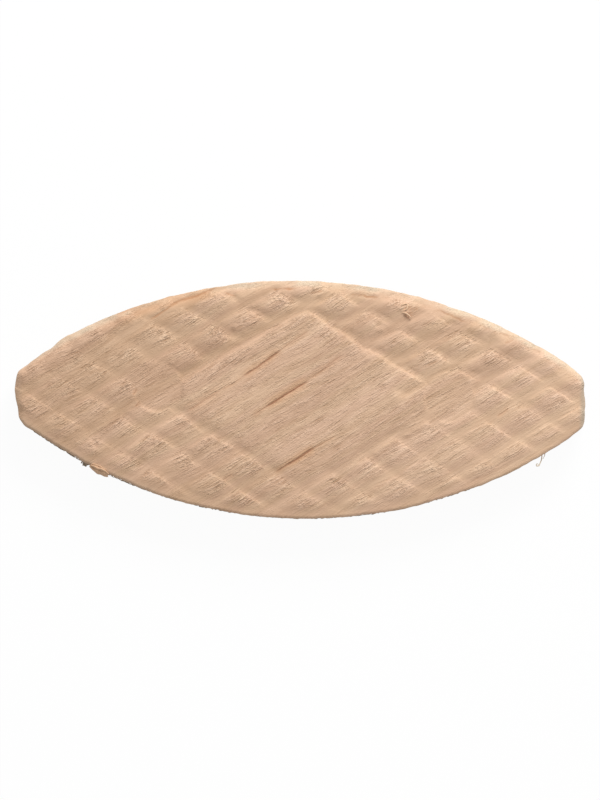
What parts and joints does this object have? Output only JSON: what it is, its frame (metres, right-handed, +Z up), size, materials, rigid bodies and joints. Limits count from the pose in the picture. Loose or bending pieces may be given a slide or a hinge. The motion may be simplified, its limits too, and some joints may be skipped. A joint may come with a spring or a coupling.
{
  "type": "jointing biscuit",
  "caption": "Pointed-oval pressed beech biscuit with cut ends and a waffle of rhombic pads on both faces, glued into matching slots to join two boards.",
  "frame": {"origin": "middle of the outline, on the underside's pressed pads", "axes": "+X along the length, +Y across the width towards the back edge, +Z up through the thickness"},
  "size_m": [0.056, 0.0234, 0.004],
  "materials": {
    "beech": "raw pressed beech, unsanded and matt"
  },
  "bodies": {
    "root": {"biscuit": "beech"}
  },
  "joints": []
}
